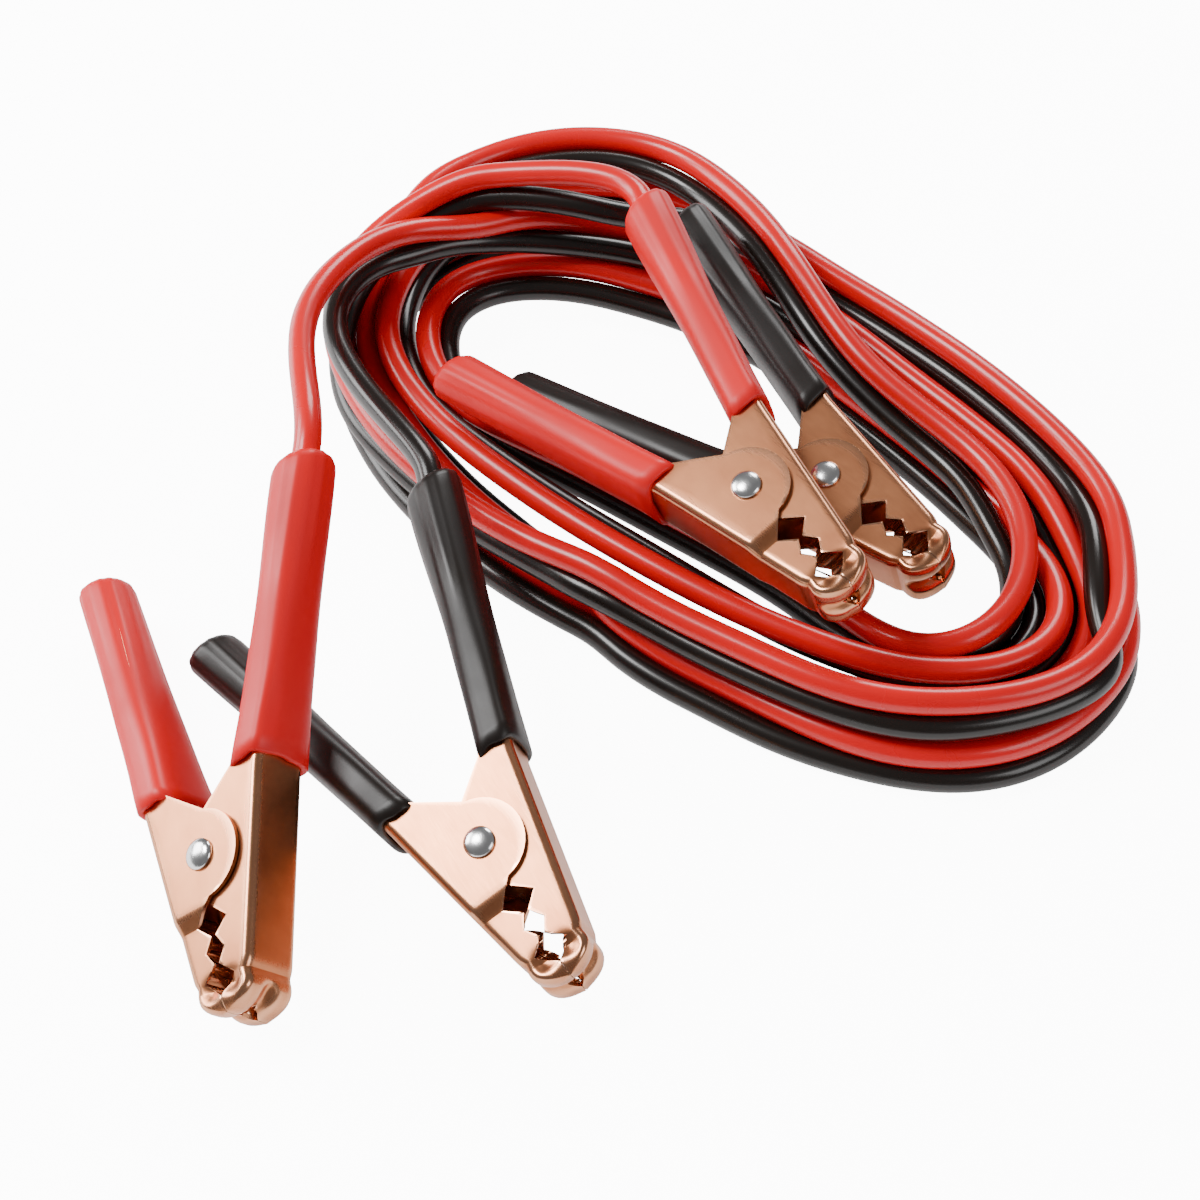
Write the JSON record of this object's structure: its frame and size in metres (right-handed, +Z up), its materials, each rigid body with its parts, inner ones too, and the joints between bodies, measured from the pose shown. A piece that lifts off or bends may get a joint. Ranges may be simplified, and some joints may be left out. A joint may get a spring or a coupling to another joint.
{
  "type": "car jumper cable",
  "caption": "Set of car jumper cables: a red and a black conductor wound in a loose oval hank, each ending in a sprung copper-plated clamp with soft grips.",
  "frame": {"origin": "on the floor, under the middle of the box round the four clamps", "axes": "+Z up; the front clamps lie towards -Y and the hank towards +Y, as seen in the picture"},
  "size_m": [0.2969, 0.3152, 0.0664],
  "materials": {
    "jaw": "stamped steel with a satin copper plating",
    "rivet": "bright domed steel",
    "spring": "dull spring wire",
    "red_grip": "soft red vinyl, satin",
    "black_grip": "soft black vinyl, satin",
    "red_cable": "glossy red insulation",
    "black_cable": "glossy black insulation"
  },
  "bodies": {
    "cable_set": {"black_cable_hank": "black_cable", "red_cable_hank": "red_cable", "front_red_cable_jaw": "jaw", "front_red_rivet": "rivet", "front_red_spring": "spring", "front_red_cable_grip": "red_grip", "front_red_tail": "red_cable", "front_black_cable_jaw": "jaw", "front_black_rivet": "rivet", "front_black_spring": "spring", "front_black_cable_grip": "black_grip", "front_black_tail": "black_cable", "back_red_cable_jaw": "jaw", "back_red_rivet": "rivet", "back_red_spring": "spring", "back_red_cable_grip": "red_grip", "back_red_tail": "red_cable", "back_black_cable_jaw": "jaw", "back_black_rivet": "rivet", "back_black_spring": "spring", "back_black_cable_grip": "black_grip", "back_black_tail": "black_cable"},
    "front_red_free_side": {"front_red_free_jaw": "jaw", "front_red_free_grip": "red_grip"},
    "front_black_free_side": {"front_black_free_jaw": "jaw", "front_black_free_grip": "black_grip"},
    "back_red_free_side": {"back_red_free_jaw": "jaw", "back_red_free_grip": "red_grip"},
    "back_black_free_side": {"back_black_free_jaw": "jaw", "back_black_free_grip": "black_grip"}
  },
  "joints": [
    {"name": "front_red_pivot", "type": "hinge", "parent": "cable_set", "child": "front_red_free_side", "pos_m": [-0.07075, -0.09145, 0.01792], "axis": [0.5821, 0.2298, -0.78], "range_deg": [0, 5], "stiffness_Nm_per_rad": 0.8, "springref_deg": -40.11, "deforming": ["front_red_spring"]},
    {"name": "front_black_pivot", "type": "hinge", "parent": "cable_set", "child": "front_black_free_side", "pos_m": [-0.00425, -0.08746, 0.01626], "axis": [0.2667, 0.2577, -0.9287], "range_deg": [0, 30], "stiffness_Nm_per_rad": 0.8, "springref_deg": -40.11, "deforming": ["front_black_spring"]},
    {"name": "back_red_pivot", "type": "hinge", "parent": "cable_set", "child": "back_red_free_side", "pos_m": [0.06505, 0.00645, 0.0455], "axis": [0.2653, 0.189, -0.9454], "range_deg": [0, 30], "stiffness_Nm_per_rad": 0.8, "springref_deg": -40.11, "deforming": ["back_red_spring"]},
    {"name": "back_black_pivot", "type": "hinge", "parent": "cable_set", "child": "back_black_free_side", "pos_m": [0.08825, 0.02685, 0.0275], "axis": [0.2303, 0.1819, -0.956], "range_deg": [0, 30], "stiffness_Nm_per_rad": 0.8, "springref_deg": -40.11, "deforming": ["back_black_spring"]}
  ]
}
